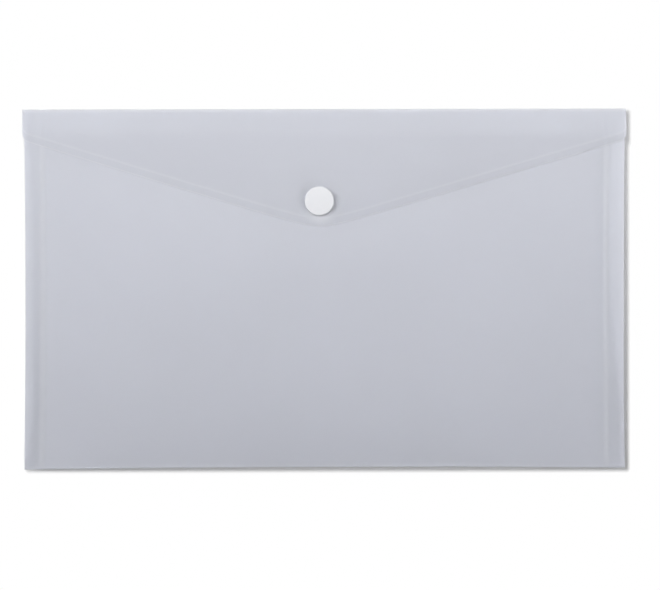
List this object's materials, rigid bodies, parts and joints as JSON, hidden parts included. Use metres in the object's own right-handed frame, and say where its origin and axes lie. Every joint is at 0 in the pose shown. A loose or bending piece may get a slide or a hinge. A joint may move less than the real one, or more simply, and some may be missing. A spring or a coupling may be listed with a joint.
{
  "type": "document wallet",
  "caption": "Flat wallet of translucent film with a welded pocket, a shallow V flap on a creased living hinge and a white press stud.",
  "frame": {"origin": "middle of the wallet's outline, on the surface that it lies on", "axes": "+X across the wallet to the right as seen from the flap side, +Y up towards the flap crease, +Z out of the flap side"},
  "size_m": [0.2524, 0.15, 0.0093],
  "materials": {
    "film": "frosted translucent film",
    "weld": "smooth melted film",
    "stud": "white moulded plastic, half gloss"
  },
  "bodies": {
    "pocket": {"back_panel": "film", "front_panel": "film", "bottom_fold": "film", "flap_crease": "film", "left_side_weld": "weld", "right_side_weld": "weld", "snap_stud": "stud", "snap_rivet": "stud"},
    "flap": {"flap": "film", "snap_cap": "stud", "snap_socket": "stud"}
  },
  "joints": [
    {"name": "flap_fold", "type": "hinge", "parent": "pocket", "child": "flap", "pos_m": [0, 0.0745, 0.0033], "axis": [-1, 0, 0], "range_deg": [0, 170], "deforming": ["flap_crease"]}
  ]
}
